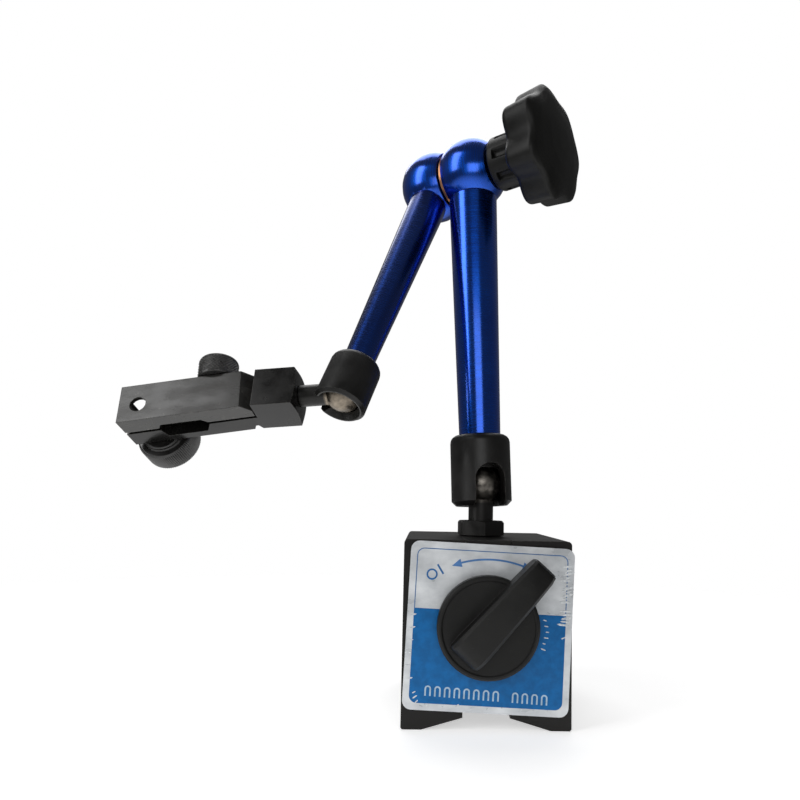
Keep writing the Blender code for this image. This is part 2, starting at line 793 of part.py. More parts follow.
def finishes():
    return {
        "black_paint": material("black_paint", (0.022, 0.020, 0.018), 0.42, 0.0),
        "dark_alloy": material("dark_alloy", (0.05, 0.048, 0.045), 0.4, 0.6),
        "label_silver": material("label_silver", (0.55, 0.57, 0.58), 0.3, 0.5),
        "black_plastic": material("black_plastic", (0.018, 0.018, 0.017), 0.4, 0.0),
        "black_oxide": material("black_oxide", (0.03, 0.029, 0.027), 0.34, 0.7),
        "dark_steel": material("dark_steel", (0.09, 0.085, 0.08), 0.28, 0.9),
        "bright_steel": material("bright_steel", (0.42, 0.38, 0.34), 0.25, 1.0),
        "steel": material("steel", (0.35, 0.35, 0.35), 0.35, 1.0),
        "ferrite": material("ferrite", (0.06, 0.06, 0.065), 0.6, 0.1),
        "brass": material("brass", (0.55, 0.4, 0.16), 0.3, 1.0),
        "copper": material("copper", (0.6, 0.3, 0.16), 0.35, 0.9),
        "blue_anodised": material("blue_anodised", (0.01, 0.03, 0.42), 0.22, 0.85),
    }


def upper_slot_direction():
    """The slot faces the side on which the upper stud leaves the sleeve."""
    away = UPPER_ARM.to_3x3().inverted() @ (HEAD.to_3x3() @ Vector((1, 0, 0)))
    return atan2(away.y, away.x)


def build():
    clear_scene()
    paint = finishes()
    build_base(paint)
    build_label(paint)
    build_rotor(paint)
    build_switch_knob(paint)
    build_lower_stud(paint)
    build_arm("lower", LOWER, LOWER_ARM, LOWER_ARM, LOWER_SLOT_TURN, paint)
    build_lower_hub(paint)
    build_elbow(paint)
    build_arm("upper", UPPER, UPPER_ARM, UPPER_HUB, upper_slot_direction(), paint)
    build_upper_hub(paint)
    build_head(paint)


build()
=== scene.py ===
"""Looks for the central-locking magnetic stand.

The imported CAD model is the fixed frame. This script gives every part its finish, adds the printed
label with its creased film, swaps the knob and the screws for finely moulded and knurled ones, and
sets floor, light and camera. Lengths written as plain numbers are in millimetres; the frames they
are drawn in are in metres.
"""

import json
from math import cos, floor, pi, radians, sin, sqrt

import bmesh
import bpy
from mathutils import Matrix, Vector


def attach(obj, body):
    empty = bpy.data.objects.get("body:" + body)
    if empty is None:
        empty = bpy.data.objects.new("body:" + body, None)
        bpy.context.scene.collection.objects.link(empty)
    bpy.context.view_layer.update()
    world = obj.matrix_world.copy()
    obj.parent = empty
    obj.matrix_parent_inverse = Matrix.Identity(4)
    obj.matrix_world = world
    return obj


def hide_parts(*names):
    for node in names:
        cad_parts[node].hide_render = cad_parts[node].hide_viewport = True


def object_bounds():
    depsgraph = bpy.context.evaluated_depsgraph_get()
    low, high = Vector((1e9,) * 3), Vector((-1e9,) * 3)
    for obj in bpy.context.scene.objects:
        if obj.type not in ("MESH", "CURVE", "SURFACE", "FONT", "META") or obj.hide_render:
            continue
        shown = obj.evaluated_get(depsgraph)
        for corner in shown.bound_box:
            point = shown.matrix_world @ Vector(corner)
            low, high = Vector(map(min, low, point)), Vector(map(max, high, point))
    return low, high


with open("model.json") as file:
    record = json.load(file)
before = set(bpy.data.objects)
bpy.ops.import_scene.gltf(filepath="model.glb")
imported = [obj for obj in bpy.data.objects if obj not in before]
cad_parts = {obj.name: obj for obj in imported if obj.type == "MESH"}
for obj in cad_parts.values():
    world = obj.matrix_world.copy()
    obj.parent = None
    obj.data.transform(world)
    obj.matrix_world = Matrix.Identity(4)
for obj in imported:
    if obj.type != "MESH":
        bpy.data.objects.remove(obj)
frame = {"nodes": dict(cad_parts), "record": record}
cad_low, cad_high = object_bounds()

MM = 0.001
NODES = frame["nodes"]
JOINTS = {joint["name"]: joint for joint in frame["record"]["behaviour"]["joints"]}

# ---------------------------------------------------------------- frames


def place(joint):
    return Vector(JOINTS[joint]["pos_m"])


def axis(joint):
    return Vector(JOINTS[joint]["axis"]).normalized()


def upright_frame(origin, along, side):
    """A frame at the origin with Z along one direction and Y as near as can be to the other."""
    z = along.normalized()
    x = side.cross(z).normalized()
    y = z.cross(x)
    made = Matrix((x, y, z)).transposed().to_4x4()
    made.translation = origin
    return made


def move(x, y, z):
    return Matrix.Translation(Vector((x, y, z)) * MM)


def turn(angle, letter):
    return Matrix.Rotation(angle, 4, letter)


UP = Vector((0, 0, 1))
HUB_SPACING = 16.0
LOWER_BALL = 6.5
UPPER_BALL = 5.8
ELBOW = upright_frame(place("elbow"), axis("elbow"), UP.cross(axis("elbow")))
UPPER_HUB = place("elbow") - axis("elbow") * HUB_SPACING * MM
LOWER_ARM = upright_frame(place("arm_tilt"), place("elbow") - place("arm_tilt"), axis("elbow"))
UPPER_ARM = upright_frame(place("head_swing"), UPPER_HUB - place("head_swing"), axis("elbow"))
STUD = upright_frame(place("arm_swivel"), UP, Vector((0, 1, 0)))
HEAD = upright_frame(place("head_spin"), axis("head_spin"), axis("pivot_turn"))
PIVOT = upright_frame(place("pivot_turn"), axis("pivot_turn"), axis("adjuster_turn"))
ADJUSTER = upright_frame(place("adjuster_turn"), -axis("adjuster_turn"), axis("pivot_turn"))
FRONT = upright_frame(place("switch_turn"), axis("switch_turn"), UP)


def reach(node, home):
    """The node's lowest and highest point along a frame's Z axis, and its widest radius, in millimetres."""
    inward = home.inverted()
    points = [inward @ vertex.co / MM for vertex in NODES[node].data.vertices]
    heights = [point.z for point in points]
    return min(heights), max(heights), max(sqrt(p.x**2 + p.y**2) for p in points)


# ---------------------------------------------------------------- materials


class Look:
    """One procedural material, built node by node."""

    def __init__(self, name, home=None):
        self.material = bpy.data.materials.new(name)
        self.material.use_nodes = True
        self.tree = self.material.node_tree
        self.shader = self.tree.nodes["Principled BSDF"]
        self.where = self.locate(home or Matrix())

    def node(self, kind, values=(), **settings):
        """Add a node; values are (socket, constant or output) pairs."""
        made = self.tree.nodes.new("ShaderNode" + kind)
        for key, value in settings.items():
            setattr(made, key, value)
        for socket, value in values:
            self.feed(made.inputs[socket], value)
        return made

    def feed(self, socket, value):
        if isinstance(value, bpy.types.NodeSocket):
            self.tree.links.new(value, socket)
        else:
            socket.default_value = value

    def locate(self, home):
        """Places on the part, in millimetres, measured in its own frame."""
        source = self.node("TexCoord").outputs["Object"]
        mapping = self.node("Mapping", [("Vector", source)], vector_type="TEXTURE")
        mapping.inputs["Location"].default_value = home.translation
        mapping.inputs["Rotation"].default_value = home.to_euler("XYZ")
        mapping.inputs["Scale"].default_value = (MM, MM, MM)
        return mapping.outputs["Vector"]

    def stretched(self, x, y, z):
        return self.node("VectorMath", [(0, self.where), (1, (x, y, z))], operation="MULTIPLY").outputs[0]

    def noise(self, x, y, z, detail=3.0, roughness=0.55):
        """Noise with this many cycles in a millimetre along each axis of the part."""
        values = [("Vector", self.stretched(x, y, z)), ("Scale", 1.0)]
        values += [("Detail", detail), ("Roughness", roughness)]
        return self.node("TexNoise", values).outputs["Fac"]

    def ramp(self, source, low, high, start=0.35, stop=0.65):
        """Spread a source between two values, flat outside start and stop."""
        values = [("Value", source), ("From Min", start), ("From Max", stop)]
        values += [("To Min", low), ("To Max", high)]
        return self.node("MapRange", values).outputs["Result"]

    def maths(self, operation, first, second=0.0):
        return self.node("Math", [(0, first), (1, second)], operation=operation).outputs[0]

    def mix(self, factor, first, second):
        made = self.node("Mix", data_type="RGBA")
        for socket, value in ((0, factor), (6, first), (7, second)):
            self.feed(made.inputs[socket], (*value, 1.0) if isinstance(value, tuple) else value)
        return made.outputs[2]

    def rounded(self, radius):
        """Normals rounded over at the part's edges; the radius is in millimetres."""
        made = self.node("Bevel", [("Radius", radius * MM)], samples=6)
        return made.outputs["Normal"]

    def wear(self, radius, source):
        """One along rubbed edges and zero on flats, broken up by the source."""
        round_normal = self.rounded(radius)
        flat_normal = self.node("NewGeometry").outputs["Normal"]
        compare = self.node("VectorMath", [(0, round_normal), (1, flat_normal)], operation="DOT_PRODUCT")
        edge = self.ramp(compare.outputs["Value"], 1.0, 0.0, 0.80, 0.97)
        return self.maths("MULTIPLY", edge, self.ramp(source, 0.0, 1.0, 0.4, 0.62))

    def bump(self, height, depth, under=None):
        """Raise the surface by up to this depth in millimetres."""
        values = [("Height", height), ("Distance", depth * MM)]
        if under:
            values.append(("Normal", under))
        return self.node("Bump", values).outputs["Normal"]

    def finish(self, **sockets):
        for name, value in sockets.items():
            socket = self.shader.inputs[name.replace("_", " ")]
            self.feed(socket, (*value, 1.0) if isinstance(value, tuple) and len(value) == 3 else value)
        return self.material


def scaled(colour, factor):
    return tuple(factor * part for part in colour)


def anodised(name, home, spin, depth=1.0):
    """Bright blue anodised aluminium; turning marks stretch its highlights along the turned axis. A depth
    below one darkens the whole colour as painted shade.
    """
    look = Look(name, home)
    rings = look.noise(0.05, 0.05, 4.0, 3.0)
    clouds = look.noise(0.12, 0.12, 0.05)
    dust = look.noise(1.1, 1.1, 1.1, 2.0)
    # depth scales both blues down; the upper tube's 0.58 is painted shade for a tube that faces down, away
    # from the light
    dark = scaled((0.002, 0.068, 0.50), depth)
    pale = scaled((0.004, 0.095, 0.62), depth)
    colour = look.mix(look.ramp(clouds, 0.0, 1.0), dark, pale)
    colour = look.mix(look.ramp(dust, 0.0, 0.5, 0.7, 0.8), colour, (0.06, 0.13, 0.45))
    turned = [(0, look.rounded(0.25)), (1, spin)]
    around = look.node("VectorMath", turned, operation="CROSS_PRODUCT").outputs[0]
    return look.finish(
        Base_Color=colour,
        Metallic=1.0,
        Roughness=look.ramp(rings, 0.20, 0.30),
        Anisotropic=0.7,
        Anisotropic_Rotation=0.25,
        Tangent=around,
        Coat_Weight=0.7,
        Coat_Roughness=0.16,
        Normal=look.bump(rings, 0.0006, look.rounded(0.25)),
    )


def blackened(name, home, rings=False, shine=0.34, bright=1.0, gloss=0.42):
    """Blackened steel: satin, a little cloudy with oil, rubbed brighter at its edges."""
    look = Look(name, home)
    clouds = look.noise(0.16, 0.16, 0.16, 5.0)
    grain = look.noise(0.3, 0.3, 7.0, 3.0) if rings else look.noise(0.25, 6.0, 6.0, 3.0)
    scuffs = look.noise(1.5, 1.5, 1.5, 3.0)
    dark = scaled((0.005, 0.0048, 0.0045), bright)
    pale = scaled((0.010, 0.0096, 0.009), bright)
    colour = look.mix(look.ramp(clouds, 0.0, 1.0), dark, pale)
    colour = look.mix(look.wear(0.35, scuffs), colour, (0.10, 0.095, 0.085))
    return look.finish(
        Base_Color=colour,
        Roughness=look.ramp(clouds, shine, shine + 0.14),
        Specular_IOR_Level=gloss,
        Normal=look.bump(grain, 0.006, look.rounded(0.22)),
    )


def smudged(name, home):
    """The front bar: blackened steel dulled to a patchy grey by handling."""
    look = Look(name, home)
    clouds = look.noise(0.09, 0.22, 0.22, 4.0)
    spots = look.noise(0.55, 0.55, 0.55, 4.0)
    grain = look.noise(0.2, 5.0, 5.0, 3.0)
    colour = look.mix(look.ramp(clouds, 0.0, 1.0), (0.020, 0.0195, 0.018), (0.036, 0.035, 0.032))
    colour = look.mix(look.ramp(spots, 0.0, 0.8, 0.64, 0.76), colour, (0.11, 0.105, 0.095))
    colour = look.mix(look.wear(0.35, spots), colour, (0.12, 0.115, 0.105))
    return look.finish(
        Base_Color=colour,
        Roughness=look.ramp(clouds, 0.16, 0.34),
        Specular_IOR_Level=0.5,
        Normal=look.bump(grain, 0.006, look.rounded(0.22)),
    )


def moulded(name, home, grain=3.2, depth=0.035):
    """Black moulded plastic with a fine spark-eroded grain and a few pale scuffs."""
    look = Look(name, home)
    skin = look.noise(grain, grain, grain, 2.0, 0.7)
    clouds = look.noise(0.10, 0.10, 0.10, 4.0)
    scuffs = look.noise(0.5, 3.5, 0.5, 3.0)
    colour = look.mix(look.ramp(clouds, 0.0, 1.0), (0.005, 0.005, 0.0046), (0.0095, 0.0095, 0.0088))
    colour = look.mix(look.ramp(scuffs, 0.0, 0.5, 0.68, 0.80), colour, (0.045, 0.045, 0.042))
    return look.finish(
        Base_Color=colour,
        Roughness=look.ramp(clouds, 0.38, 0.52),
        Specular_IOR_Level=0.28,
        Normal=look.bump(skin, depth, look.rounded(0.45)),
    )


def painted(name):
    """Semi-gloss black paint, faintly brown, with the slight ripple of a sprayed coat."""
    look = Look(name)
    ripple = look.noise(0.9, 0.9, 0.9, 2.0)
    clouds = look.noise(0.07, 0.07, 0.07, 4.0)
    chips = look.noise(0.8, 0.8, 0.8, 4.0)
    colour = look.mix(look.ramp(clouds, 0.0, 1.0), (0.0045, 0.004, 0.0035), (0.009, 0.008, 0.007))
    colour = look.mix(look.wear(0.5, chips), colour, (0.06, 0.053, 0.045))
    return look.finish(
        Base_Color=colour,
        Roughness=look.ramp(clouds, 0.36, 0.5),
        Specular_IOR_Level=0.3,
        Normal=look.bump(ripple, 0.03, look.rounded(0.35)),
    )


def turned_steel(name, home, dark, light, roughness):
    """Turned steel with fine rings and brownish oil between two colours."""
    look = Look(name, home)
    rings = look.noise(0.2, 0.2, 8.0, 3.0)
    oil = look.noise(0.35, 0.35, 0.35, 4.0)
    colour = look.mix(look.ramp(oil, 0.0, 1.0), dark, light)
    return look.finish(
        Base_Color=colour,
        Metallic=1.0,
        Roughness=look.ramp(oil, roughness, roughness + 0.14),
        Normal=look.bump(rings, 0.008, look.rounded(0.2)),
    )


def ball_and_neck(name, home, ball, neck, bare):
    """A stud whose neck is blackened and whose ball is worn to bare steel."""
    look = Look(name, home)
    radius = look.node("VectorMath", [(0, look.where)], operation="LENGTH").outputs["Value"]
    on_neck = look.ramp(radius, 0.0, 1.0, ball + 0.2, ball + 1.0)
    rings = look.noise(0.25, 0.25, 7.0, 3.0)
    oil = look.noise(0.4, 0.4, 0.4, 4.0)
    steel = look.mix(look.ramp(oil, 0.0, 1.0), scaled(bare, 0.35), bare)
    return look.finish(
        Base_Color=look.mix(on_neck, steel, neck),
        Metallic=look.ramp(on_neck, 1.0, 0.4, 0.0, 1.0),
        Roughness=look.ramp(oil, 0.3, 0.44),
        Normal=look.bump(rings, 0.008, look.rounded(0.2)),
    )


def silver_sheet(name, home):
    """Thin silver sheet: brushed across, clouded by the clear film left on it."""
    look = Look(name, home)
    brush = look.noise(0.25, 9.0, 1.0, 4.0)
    clouds = look.noise(0.11, 0.16, 0.1, 5.0)
    specks = look.noise(2.2, 2.2, 2.2, 2.0)
    colour = look.mix(look.ramp(clouds, 0.0, 1.0, 0.3, 0.7), (0.54, 0.565, 0.59), (0.84, 0.865, 0.885))
    colour = look.mix(look.ramp(specks, 0.0, 0.6, 0.68, 0.76), colour, (0.88, 0.89, 0.90))
    return look.finish(
        Base_Color=colour,
        Metallic=0.25,
        Roughness=look.ramp(clouds, 0.26, 0.44),
        Specular_IOR_Level=0.4,
        Normal=look.bump(brush, 0.008, look.rounded(0.12)),
    )


def ink(name, home, colour):
    """Printed ink under clear film, very slightly uneven."""
    look = Look(name, home)
    mottle = look.noise(0.5, 0.5, 0.5, 4.0)
    deeper = scaled(colour, 0.78)
    ripple = look.noise(0.09, 0.14, 0.1, 4.0)
    return look.finish(
        Base_Color=look.mix(look.ramp(mottle, 0.0, 1.0), deeper, colour),
        Roughness=look.ramp(ripple, 0.3, 0.45),
        Specular_IOR_Level=0.25,
        Normal=look.bump(ripple, 0.02),
    )


def creased_film(name, home):
    """Lifted clear film that catches the light white."""
    look = Look(name, home)
    cloud = look.noise(1.2, 1.2, 1.2, 3.0)
    return look.finish(
        Base_Color=look.mix(look.ramp(cloud, 0.0, 1.0), (0.55, 0.60, 0.64), (0.86, 0.88, 0.89)),
        Roughness=look.ramp(cloud, 0.22, 0.4),
        Coat_Weight=0.5,
        Normal=look.bump(cloud, 0.02),
    )


def dress(names, material):
    """Give the named CAD nodes this material alone."""
    for name in names.split():
        slots = NODES[name].data.materials
        slots.clear()
        slots.append(material)


def smoothing_group(limit=radians(32)):
    """Nodes for a modifier that shades a faceted CAD solid smoothly across its shallow edges."""
    group = bpy.data.node_groups.new("smooth by angle", "GeometryNodeTree")
    group.is_modifier = True
    group.interface.new_socket("Geometry", in_out="INPUT", socket_type="NodeSocketGeometry")
    group.interface.new_socket("Geometry", in_out="OUTPUT", socket_type="NodeSocketGeometry")
    nodes, links = group.nodes, group.links
    chain = [nodes.new("NodeGroupInput")]
    for kind in ("MergeByDistance", "RemoveAttribute", "SetShadeSmooth", "SetShadeSmooth"):
        chain.append(nodes.new("GeometryNode" + kind))
    merge, forget, edges = chain[1], chain[2], chain[4]
    merge.inputs["Distance"].default_value = 0.001 * MM
    forget.inputs["Name"].default_value = "custom_normal"
    edges.domain = "EDGE"
    angle = nodes.new("GeometryNodeInputMeshEdgeAngle")
    shallow = nodes.new("FunctionNodeCompare")
    shallow.operation = "LESS_THAN"
    shallow.inputs["B"].default_value = limit
    links.new(angle.outputs["Unsigned Angle"], shallow.inputs["A"])
    links.new(shallow.outputs["Result"], edges.inputs["Shade Smooth"])
    chain.append(nodes.new("NodeGroupOutput"))
    for here, there in zip(chain, chain[1:]):
        links.new(here.outputs["Geometry"], there.inputs["Geometry"])
    return group


def smooth_cad():
    group = smoothing_group()
    for solid in NODES.values():
        solid.modifiers.new("smooth", "NODES").node_group = group


def dress_cad():
    dress("pole_left pole_right separator_upper separator_lower rear_cover", painted("black paint"))
    dress("label_plate", silver_sheet("silver sheet", FRONT))
    dress("lower_tube", anodised("blue anodised lower tube", LOWER_ARM, Vector(LOWER_ARM.col[2][:3])))
    # The upper tube is the same anodising, darkened to 0.58 as painted shade where it faces down, away from
    # the lights.
    dress("upper_tube", anodised("blue anodised upper tube with painted shade", UPPER_ARM, Vector(UPPER_ARM.col[2][:3]), 0.58))
    dress("lower_hub upper_hub", anodised("blue anodised hubs", ELBOW, axis("elbow")))
    dress("lower_sleeve", blackened("blackened lower sleeve", LOWER_ARM, rings=True))
    dress("upper_sleeve", blackened("blackened upper sleeve", UPPER_ARM, rings=True))
    dress("swivel_block", blackened("blackened block", PIVOT, shine=0.14, gloss=0.34))
    dress("clamp_bar", smudged("smudged bar", PIVOT))
    dress("thrust_washer", blackened("blackened washer", ELBOW, rings=True))
    dress("draw_bolt", turned_steel("bolt steel", ELBOW, (0.25, 0.25, 0.25), (0.42, 0.42, 0.41), 0.3))
    dress("friction_washer", turned_steel("copper", ELBOW, (0.42, 0.19, 0.09), (0.66, 0.34, 0.18), 0.3))
    brass = ((0.42, 0.29, 0.10), (0.60, 0.44, 0.18), 0.28)
    dress("knob_insert", turned_steel("insert brass", ELBOW, *brass))
    dress("front_bush", turned_steel("bush brass", FRONT, *brass))
    lower_neck, lower_bare = (0.02, 0.019, 0.018), (0.34, 0.315, 0.28)
    dress("ball_stud_lower", ball_and_neck("lower stud steel", STUD, LOWER_BALL, lower_neck, lower_bare))
    upper_neck, upper_bare = (0.014, 0.0135, 0.0125), (0.34, 0.29, 0.23)
    dress("ball_stud_upper", ball_and_neck("upper stud steel", HEAD, UPPER_BALL, upper_neck, upper_bare))
    dress("lower_ball_seat upper_ball_seat", blackened("blackened seats", STUD, rings=True))
    hidden = "lower_push_rod upper_push_rod switch_spindle rotor_shoe_left "
    plain = turned_steel("plain steel", STUD, (0.24, 0.24, 0.24), (0.40, 0.40, 0.39), 0.3)
    dress(hidden + "rotor_shoe_right", plain)
    dress("rotor_magnet", moulded("sintered ferrite", FRONT, 1.6, 0.05))
    dress("return_spring", turned_steel("spring steel", ADJUSTER, (0.3, 0.29, 0.27), (0.5, 0.49, 0.46), 0.22))
    dress("switch_knob", moulded("switch plastic", FRONT))


# ---------------------------------------------------------------- new pieces


def shade(mesh, limit=radians(35)):
    """Smooth shading, broken only where the surface really turns."""
    work = bmesh.new()
    work.from_mesh(mesh)
    bmesh.ops.recalc_face_normals(work, faces=work.faces)
    for face in work.faces:
        face.smooth = True
    for edge in work.edges:
        edge.smooth = edge.calc_face_angle(pi) < limit
    work.to_mesh(mesh)
    work.free()


def add_piece(name, mesh, body, material):
    shade(mesh)
    made = bpy.data.objects.new(name, mesh)
    bpy.context.collection.objects.link(made)
    mesh.materials.append(material)
    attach(made, body)
    return made


def lathe(name, profile, home, sides, rule):
    """Turn a (radius, height) profile about Z; the rule gives each point's radius from its angle."""
    points = []
    rows = []
    for radius, height in profile:
        if radius == 0:
            rows.append([len(points)] * sides)
            points.append(home @ Vector((0, 0, height * MM)))
            continue
        rows.append([len(points) + k for k in range(sides)])
        for k in range(sides):
            angle = 2 * pi * k / sides
            r = rule(angle, radius, height)
            points.append(home @ Vector((r * cos(angle) * MM, r * sin(angle) * MM, height * MM)))
    faces = []
    for here, there in zip(rows, rows[1:]):
        for k in range(sides):
            after = (k + 1) % sides
            loop = list(dict.fromkeys([here[k], here[after], there[after], there[k]]))
            if len(loop) > 2:
                faces.append(loop)
    mesh = bpy.data.meshes.new(name)
    mesh.from_pydata(points, [], faces)
    return mesh


def fillet(corner, before, after, radius, steps=5):
    """Points that round a profile's corner between its two neighbours."""
    corner, before, after = Vector(corner), Vector(before), Vector(after)
    start = corner + (before - corner).normalized() * radius
    end = corner + (after - corner).normalized() * radius
    out = []
    for k in range(steps + 1):
        t = k / steps
        point = start * (1 - t) ** 2 + corner * 2 * t * (1 - t) + end * t**2
        out.append((point.x, point.y))
    return out


def softened(outline, radius):
    """Round every inner corner of an open profile."""
    out = [outline[0]]
    for before, corner, after in zip(outline, outline[1:], outline[2:]):
        shortest = min((Vector(before) - Vector(corner)).length, (Vector(after) - Vector(corner)).length)
        out += fillet(corner, before, after, min(radius, shortest * 0.48))
    return out + [outline[-1]]


LOBES = 7
LOBE_PHASE = radians(-8.6)
FLUTE_DEPTH = 0.19
RIB_DEPTH = 0.19
STAR_THICKNESS = 14.5
DOME_RISE = 14.4


def build_star_knob():
    """The star grip: fluted lobes that fade into a domed face, and a ribbed collar behind them."""
    back, top, radius = reach("star_knob", ELBOW)
    bore, bore_end, collar = 6.3, back + 15.6, 9.2
    star = top - STAR_THICKNESS
    under = star + 0.15
    rim = 0.985 * radius
    outline = [(bore, bore_end), (bore, back), (collar, back), (collar, under), (0.90 * rim, under)]
    outline += [(0.965 * rim, star + 1.3), (rim, star + 10.3)]
    dome = ((0.90, 11.7), (0.72, 12.9), (0.45, 13.9), (0.2, DOME_RISE))
    outline += [(share * radius, star + rise) for share, rise in dome]
    outline += [(0, top)]
    profile = [(0, bore_end)] + softened(outline, 0.8)
    rib_start, rib_end = back + 2.6, star + 0.1
    profile = with_steps(profile, collar, (rib_start - 0.3, rib_start, rib_end - 0.3))

    def rule(angle, r, height):
        beat = cos(LOBES * (angle - LOBE_PHASE))
        on_dome = r < collar + 0.01 and height > top - 2
        if r <= bore or height < rib_start or on_dome:
            return r
        if r <= collar and height < rib_end:
            return r * (1 - RIB_DEPTH * min(1.0, max(0.0, -1.6 * beat - 0.3)))
        toward_face = max(0.0, (star + DOME_RISE - height) / 6.7)
        fade = min(1.0, toward_face, 1.0 - 0.4 * (height - star) / 10.4)
        return r * (1 - FLUTE_DEPTH / 2 * fade * (1 - beat))

    mesh = lathe("knob", profile, ELBOW, LOBES * 32, rule)
    knob = add_piece("knob_moulding", mesh, "knob", moulded("knob plastic", ELBOW))
    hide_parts("star_knob")


def with_steps(profile, radius, heights):
    """Add points at these heights on the straight run of a profile that has this radius."""
    out = []
    for here, there in zip(profile, profile[1:]):
        out.append(here)
        if abs(here[0] - radius) < 0.01 and abs(there[0] - radius) < 0.01:
            out += [(radius, height) for height in heights if here[1] < height < there[1]]
    return out + [profile[-1]]


def wave(x):
    """A triangle wave between 0 and 1 that repeats every unit."""
    return abs(2 * (x - floor(x)) - 1)


def build_pivot_screw():
    """The small screw on top, with a diamond knurl."""
    low, high, radius = reach("pivot_screw", PIVOT)
    shank = 2.0
    head = high - 6.8
    count = 38
    pitch = 2 * pi * radius / count
    rows = 44
    first, last = head + 0.55, high - 0.6
    profile = [(0, low), (1.6, low), (shank, low + 0.4), (shank, head)]
    profile += [(radius - 0.7, head), (radius - 0.25, head + 0.2)]
    profile += [(radius, first + (last - first) * k / rows) for k in range(rows + 1)]
    profile += [(radius - 0.25, high - 0.25), (radius - 0.8, high)]
    profile += [(2.2, high), (1.8, high - 0.25), (0, high - 0.25)]

    def rule(angle, r, height):
        if r < radius:
            return r
        turns = count * angle / (2 * pi)
        rise = height / pitch
        ends = min(1.0, (height - first) / 0.35 + 0.2, (last - height) / 0.35 + 0.2)
        valley = 1 - min(wave(turns + rise), wave(turns - rise))
        return r - 0.42 * valley * ends - 0.08 * (1 - ends)

    mesh = lathe("pivot", profile, PIVOT, count * 6, rule)
    look = blackened("knurled pivot", PIVOT, True, 0.22, 1.4, 0.9)
    made = add_piece("pivot_screw_knurled", mesh, "pivot", look)
    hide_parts("pivot_screw")


def build_thumbscrew():
    """The fine-adjustment screw: straight knurl, a shallow dish on its outer face."""
    low, high, radius = reach("thumbscrew", ADJUSTER)
    shank = 2.5
    boss = 6.2
    head = high - 8.8
    count = 88
    profile = [(0, low), (2.1, low), (shank, low + 0.4), (shank, head)]
    profile += [(boss - 0.3, head), (boss, head + 0.3), (boss, head + 1.1), (boss + 0.3, head + 1.4)]
    profile += [(radius - 0.75, head + 1.4), (radius - 0.15, head + 1.9)]
    profile += [(radius, head + 2.1), (radius, high - 0.7), (radius - 0.15, high - 0.5), (radius - 0.8, high)]
    profile += [(radius - 2.2, high), (radius - 2.7, high - 0.5), (2.4, high - 0.9), (0, high - 0.9)]

    def rule(angle, r, height):
        if r < radius - 0.2:
            return r
        groove = 0.34 * (1 - wave(count * angle / (2 * pi))) ** 1.3
        return r - groove * (1.0 if r == radius else 0.6)

    mesh = lathe("adjuster", profile, ADJUSTER, count * 6, rule)
    look = blackened("knurled thumbscrew", ADJUSTER, True, 0.24, 1.3, 0.8)
    made = add_piece("thumbscrew_knurled", mesh, "adjuster", look)
    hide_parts("thumbscrew")


# ---------------------------------------------------------------- printed label

PLATE_ACROSS, PLATE_RISE = 0.5, -0.6
PLATE_TURN = radians(-2.3)
PLATE = FRONT @ move(PLATE_ACROSS, PLATE_RISE, 0) @ turn(PLATE_TURN, "Z")
PRINT_THICKNESS = 0.03
PRINT_LIFT = 0.01
LINE_WIDTH = 0.24
BORDER = 22.4
BORDER_CORNER = 2.2
FIELD_TOP = 4.7
SPINDLE_CLEARANCE = 5.2


def plate_face():
    return reach("label_plate", PLATE)[1]


def arc(x, y, radius, start, end, steps):
    angles = [start + (end - start) * k / steps for k in range(steps + 1)]
    return [(x + radius * cos(angle), y + radius * sin(angle)) for angle in angles]


def rounded_box(left, right, low, high, corners):
    """A box with its four corner radii given from the top right, anticlockwise."""
    out = []
    places = ((right, high, -1, -1), (left, high, 1, -1), (left, low, 1, 1), (right, low, -1, 1))
    for k, (x, y, inward_x, inward_y) in enumerate(places):
        r = corners[k]
        centre = (x + inward_x * r, y + inward_y * r)
        out += arc(*centre, r, k * pi / 2, (k + 1) * pi / 2, 8) if r > 0 else [(x, y)]
    return out


def placed(loop, x, y, angle=0.0):
    return [(x + px * cos(angle) - py * sin(angle), y + px * sin(angle) + py * cos(angle)) for px, py in loop]


def printed(name, loops, material):
    """Flat print on the plate; a loop inside another is a hole."""
    curve = bpy.data.curves.new(name, "CURVE")
    curve.dimensions = "2D"
    curve.fill_mode = "BOTH"
    curve.extrude = PRINT_THICKNESS * MM / 2
    for loop in loops:
        spline = curve.splines.new("POLY")
        spline.points.add(len(loop) - 1)
        for point, (x, y) in zip(spline.points, loop):
            point.co = (x * MM, y * MM, 0, 1)
        spline.use_cyclic_u = True
    shape = bpy.data.objects.new(name + "_outline", curve)
    bpy.context.collection.objects.link(shape)
    graph = bpy.context.evaluated_depsgraph_get()
    mesh = bpy.data.meshes.new_from_object(shape.evaluated_get(graph))
    bpy.data.objects.remove(shape)
    bpy.data.curves.remove(curve)
    mesh.materials.clear()
    mesh.transform(PLATE @ move(0, 0, plate_face() + PRINT_LIFT + PRINT_THICKNESS / 2))
    add_piece(name, mesh, "base", material)


def arrow_outline():
    """A double-headed arrow bent round an arc above the switch."""
    x, y, radius, swing = -0.1, -10.2, 30.2, radians(17.6)
    half, head_half, head_long = 0.28, 1.25, radians(5.6)
    left, right = pi / 2 + swing, pi / 2 - swing
    outline = arc(x, y, radius + half, right, left, 24)
    for end, way in ((left, 1), (right, -1)):
        base, tip = end, end + way * head_long
        corners = ((radius + head_half * way, base), (radius, tip), (radius - head_half * way, base))
        outline += [(x + r * cos(angle), y + r * sin(angle)) for r, angle in corners]
        if way == 1:
            outline += arc(x, y, radius - half, left, right, 24)
    return outline


def magnet_mark(width, height, stroke):
    """A small horseshoe magnet, drawn as one outline."""
    outer, inner = width / 2, width / 2 - stroke
    shoulder = height / 2 - outer
    loop = [(outer, -height / 2)] + arc(0, shoulder, outer, 0, pi, 10) + [(-outer, -height / 2)]
    return loop + [(-inner, -height / 2)] + arc(0, shoulder, inner, pi, 0, 10) + [(inner, -height / 2)]


